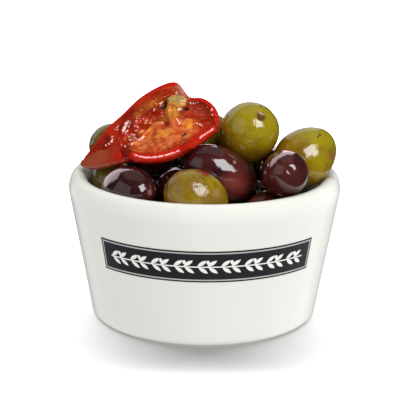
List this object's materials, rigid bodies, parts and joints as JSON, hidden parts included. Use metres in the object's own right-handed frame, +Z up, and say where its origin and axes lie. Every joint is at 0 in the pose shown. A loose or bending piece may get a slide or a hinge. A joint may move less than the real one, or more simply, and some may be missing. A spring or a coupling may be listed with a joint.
{
  "type": "bowl of olives",
  "caption": "Round white glazed bowl heaped with whole green and purple olives, with half a dried tomato leaning over the heap and the rim.",
  "frame": {"origin": "centre of the bowl's base, on the surface it stands on", "axes": "+Z up; -Y is the bowl's front, where its dark band is; +X to the right seen from the front"},
  "size_m": [0.1, 0.1, 0.0846],
  "materials": {
    "glaze": "gloss",
    "olive_skin": "gloss",
    "tomato_flesh": "gloss"
  },
  "bodies": {
    "root": {"bowl": "glaze", "olives": "olive_skin", "tomato_half": "tomato_flesh"}
  },
  "joints": []
}
